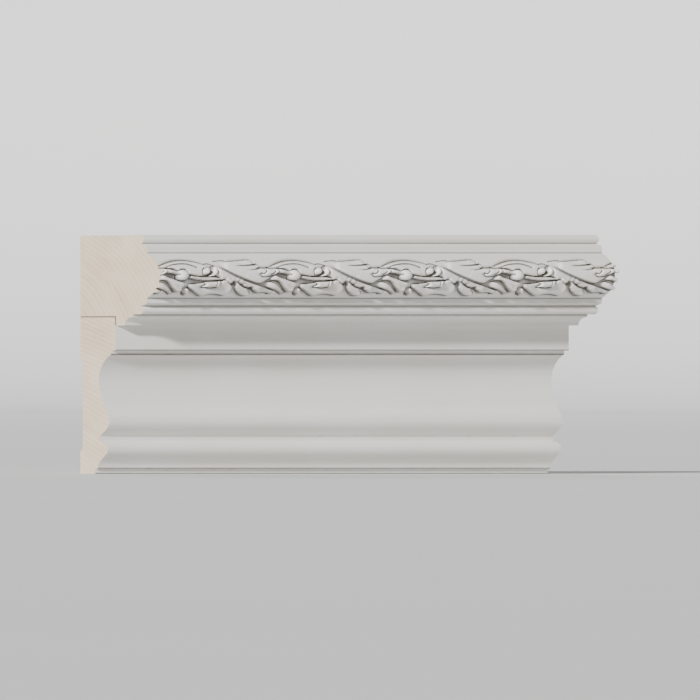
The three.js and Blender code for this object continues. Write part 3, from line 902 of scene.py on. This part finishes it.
def wood_material(name, pith, lap=None):
    """Bare pale hardwood. Sawn ends are darker, partly as painted shade, with pores, saw marks and the
    joint's glue line, widened as painted shade. A planed back has knife marks, and paint laps over one
    arris, at the height and in the colour given."""
    material, tree, place, shader = new_material(name)
    sawn = lap is None
    rings = growth_rings(tree, place, pith)
    fibres = noise(tree, place, (200, 2600, 2600) if sawn else (30, 1500, 1500), 4)
    blotches = noise(tree, place, (10, 60, 60), 3)
    light, dark = (END_GRAIN_SHADED_PALE, END_GRAIN_SHADED_DEEP) if sawn else (WOOD_LIGHT, WOOD_DARK)
    ringed = mixed(tree, multiplied(tree, rings, 0.6), light, dark)
    pored = mixed(tree, ranged(tree, fibres, 0.5, 0.75, 0, 0.5), ringed, darkened(dark, 0.85))
    colour = mixed(tree, ranged(tree, blotches, 0.3, 0.7, 0, 0.25), pored, WOOD_PALE)
    normal = bumped(tree, fibres, 0.4, 0.0002)
    if sawn:
        # The joint's glue line, darkened and widened as painted shade in the joint
        colour = mixed(tree, multiplied(tree, joint_glue_and_shade(tree, place), 0.85), colour, SHADE_AND_GLUE_DARK)
        scratches = noise(tree, place, (1, 70, 1500), 3)
        normal = bumped(tree, scratches, 0.35, 0.0002, normal)
    else:
        arris_height, paint = lap
        height = add(tree, "ShaderNodeSeparateXYZ", {0: place}).outputs["Z"]
        uneven = noise(tree, place, (70, 300, 300), 3)
        reach = ranged(tree, uneven, 0.35, 0.7, 0.3 * MM, 2 * MM)
        lapped = within_reach(tree, height, arris_height, reach)
        colour = mixed(tree, multiplied(tree, lapped, 0.85), colour, (*paint, 1))
        knife_inputs = {"Vector": place, "Scale": 90.0, "Distortion": 0.4}
        knife_marks = add(tree, "ShaderNodeTexWave", knife_inputs, wave_type="BANDS", bands_direction="X")
        normal = bumped(tree, knife_marks.outputs["Fac"], 0.12, 0.0001, normal)
    tree.links.new(colour, shader.inputs["Base Color"])
    tree.links.new(ranged(tree, fibres, 0.3, 0.7, 0.6, 0.8), shader.inputs["Roughness"])
    tree.links.new(normal, shader.inputs["Normal"])
    return material


def stage_material():
    """The plain pale floor."""
    material, tree, place, shader = new_material("floor_paper")
    mottled = mixed(tree, noise(tree, place, (3, 3, 3), 2), FLOOR_DARK, FLOOR_LIGHT)
    tree.links.new(mottled, shader.inputs["Base Color"])
    shader.inputs["Roughness"].default_value = 0.85
    return material


def make_floor():
    """A wide pale floor that turns up softly at its rim, all round. Its sizes are in metres."""
    radius, turn_radius, rim, sides = 7.7, 0.6, 1.0, 96
    section = [(0.4, 0), (2, 0), (radius, 0)]
    for t in np.radians(range(9, 91, 9)):
        section.append((radius + turn_radius * math.sin(t), turn_radius * (1 - math.cos(t))))
    section.append((radius + turn_radius, rim))
    points = [(0, 0, board_low.z)]
    for r, z in section:
        for a in np.linspace(0, 2 * math.pi, sides, endpoint=False):
            points.append((r * math.cos(a), r * math.sin(a), board_low.z + z))
    faces = [(0, 1 + i, 1 + (i + 1) % sides) for i in range(sides)]
    for row in range(len(section) - 1):
        here, there = 1 + row * sides, 1 + (row + 1) * sides
        for i in range(sides):
            beside = (i + 1) % sides
            faces.append((here + i, there + i, there + beside, here + beside))
    mesh = bpy.data.meshes.new("floor")
    mesh.from_pydata(points, [], faces)
    mesh.polygons.foreach_set("use_smooth", [True] * len(faces))
    mesh.materials.append(stage_material())
    floor = bpy.data.objects.new("floor", mesh)
    bpy.context.scene.collection.objects.link(floor)


def make_camera():
    """A level long lens from the rail's left front, with its picture parallel to the rail. In metres."""
    pixel, frame_pixels = 0.55 * MM, 700
    left_end_pixel, bottom_pixel, middle_pixel = 78.51, 474.36, frame_pixels / 2
    distance, drawn_depth = 7.5, 0.035
    ray = Vector((1, 1, 0)).normalized()
    across = cap_low.x + (middle_pixel - left_end_pixel) * pixel - drawn_depth
    middle = Vector((across, -drawn_depth, board_low.z + (bottom_pixel - middle_pixel) * pixel))
    place = middle - ray * distance
    data = bpy.data.cameras.new("camera")
    data.sensor_width = 36
    data.lens = data.sensor_width * distance / (frame_pixels * pixel)
    data.clip_end = 60
    camera = bpy.data.objects.new("camera", data)
    rig = bpy.data.objects.new("camera_rig", None)
    for made in (camera, rig):
        bpy.context.scene.collection.objects.link(made)
    camera.parent = rig
    camera.matrix_parent_inverse = Matrix((
        (1, 0, -ray.x, place.x),
        (0, 0, -ray.y, place.y),
        (0, 1, -ray.z, place.z),
        (0, 0, 0, 1),
    ))
    bpy.context.scene.camera = camera


def make_sun(name, towards, strength, softness):
    """A soft light from far away, from the given side."""
    data = bpy.data.lights.new(name, "SUN")
    data.energy = strength
    data.angle = math.radians(softness)
    lamp = bpy.data.objects.new(name, data)
    bpy.context.scene.collection.objects.link(lamp)
    lamp.rotation_euler = Vector(towards).to_track_quat("Z", "Y").to_euler()


def make_lights():
    """A key light from the upper left, weaker ones from the right and the back, and an even sky."""
    make_sun("key", (-0.86, -0.34, 0.4), 6.8, 5)
    make_sun("right_fill", (0.9, -0.5, 0.6), 0.2, 25)
    make_sun("back_fill", (0.6, 1, 0.9), 1.2, 25)
    world = bpy.data.worlds.new("world")
    bpy.context.scene.world = world
    world.use_nodes = True
    background = world.node_tree.nodes["Background"]
    background.inputs["Color"].default_value = (0.97, 0.98, 1, 1)
    background.inputs["Strength"].default_value = 0.12


def piece_materials(name, pith, arris_height):
    """The paint, the sawn wood and the planed wood of a piece."""
    paints = {m["slot"]: tuple(m["base_color"]) for m in frame["record"]["materials"]}
    paint = paints[name + "_paint"]
    return [
        paint_material(name + "_paint", paint),
        wood_material(name + "_end_grain", pith),
        wood_material(name + "_back", pith, (arris_height, paint)),
    ]


make_camera()
carved_cap(piece_materials("cap", CAP_PITH, cap_high.z))
lower_board(piece_materials("board", BOARD_PITH, board_low.z))
make_floor()
make_lights()
